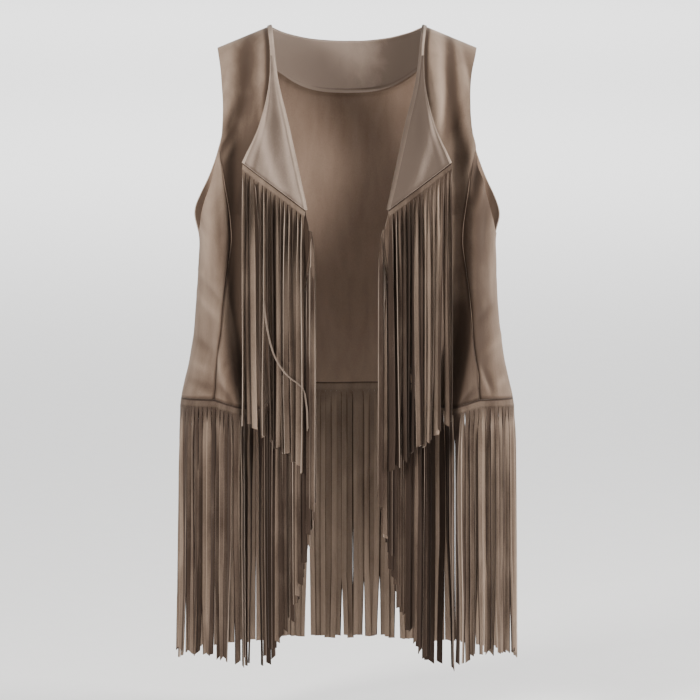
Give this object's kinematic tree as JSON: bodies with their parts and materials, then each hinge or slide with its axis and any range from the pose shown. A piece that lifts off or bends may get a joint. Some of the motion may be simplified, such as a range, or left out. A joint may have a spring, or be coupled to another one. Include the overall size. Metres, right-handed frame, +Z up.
{
  "type": "fringe vest",
  "caption": "Open-front sleeveless suede-look vest with turned-back lapels, a cutaway front edge and long fringe on the hem and lapels.",
  "frame": {"origin": "midway between the two neck points of the shoulder seams, at shoulder height, where the wearer holds the vest up", "axes": "+Z up, the front of the vest faces -Y, +X is towards the right of the picture"},
  "size_m": [0.4601, 0.2708, 0.8642],
  "materials": {
    "suede": "matt napped suede",
    "facing": "matt napped suede",
    "fringe": "matt napped suede strips"
  },
  "bodies": {
    "root": {"back_panel": "suede", "back_neck_facing": "facing", "front_right": "suede", "front_left": "suede", "side_right": "suede", "side_left": "suede", "lapel_facing_right": "facing", "lapel_facing_left": "facing", "fringe_back": "fringe", "fringe_hem_right": "fringe", "fringe_hem_left": "fringe", "fringe_lapel_right": "fringe", "fringe_lapel_left": "fringe"}
  },
  "joints": []
}
